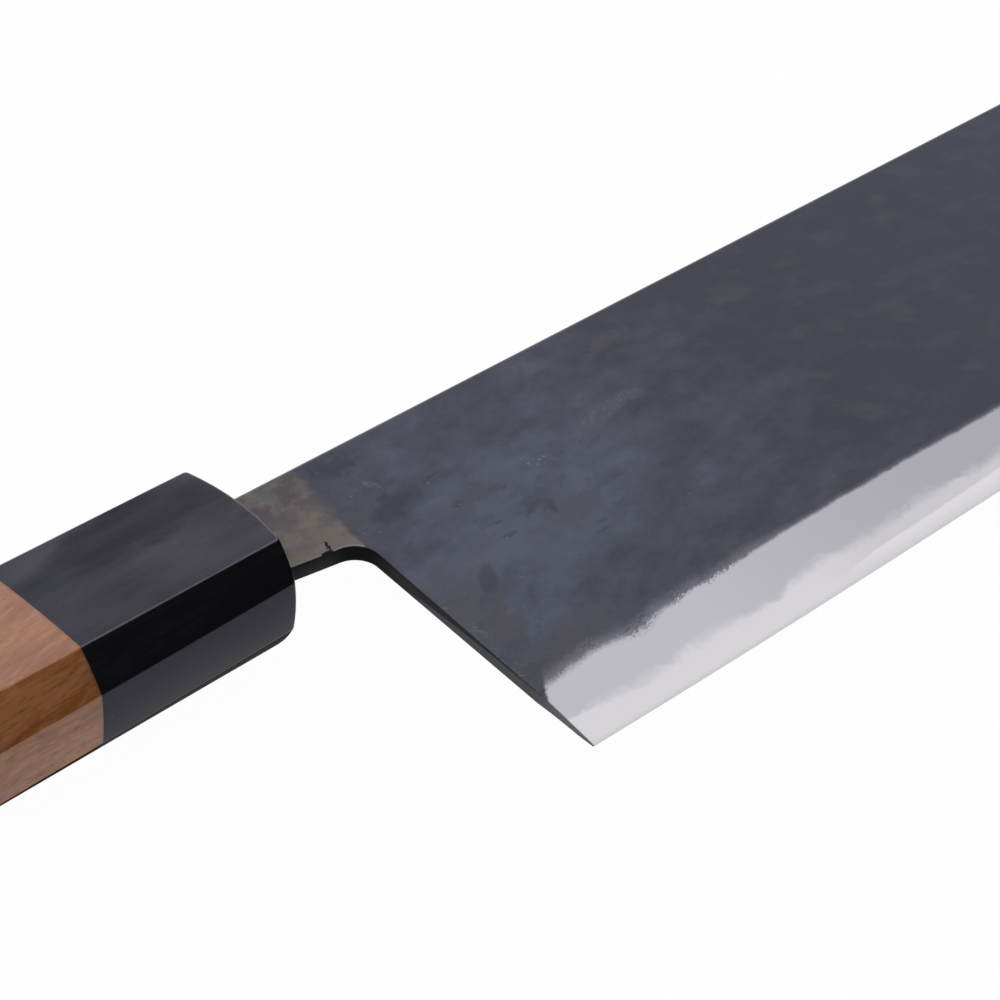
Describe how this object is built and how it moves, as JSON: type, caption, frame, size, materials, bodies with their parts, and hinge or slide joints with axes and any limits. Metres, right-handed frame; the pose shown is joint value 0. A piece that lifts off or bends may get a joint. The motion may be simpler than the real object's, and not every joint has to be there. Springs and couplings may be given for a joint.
{
  "type": "nakiri knife",
  "caption": "Straight-edged vegetable knife: laminated blade with dark forge-scale flats and bright bevels, in a tapered octagonal wooden handle with a black domed ferrule.",
  "frame": {"origin": "middle of the knife's footprint, on the surface that it lies on with its left side down", "axes": "+X from the butt to the tip along the handle's axis, +Y from the cutting edge to the spine, +Z out of the blade's right face"},
  "size_m": [0.3072, 0.0606, 0.0183],
  "materials": {
    "core_steel": "hard carbon steel, ground and sharpened bright",
    "cladding_steel": "soft iron with dark forge scale on the flats, ground bright with a fine haze on the bevel",
    "black_horn": "black horn, sanded and rubbed to a soft gloss",
    "walnut": "walnut with open pores, oiled satin",
    "magnolia": "bare pale magnolia wood",
    "bedding_resin": "cast amber resin",
    "seal_resin": "dark cast resin, flush and smooth"
  },
  "bodies": {
    "root": {"core_steel": "core_steel", "right_cladding": "cladding_steel", "left_cladding": "cladding_steel", "ferrule": "black_horn", "handle_body": "walnut", "core_dowel": "magnolia", "tang_bedding": "bedding_resin", "mouth_seal": "seal_resin"}
  },
  "joints": []
}
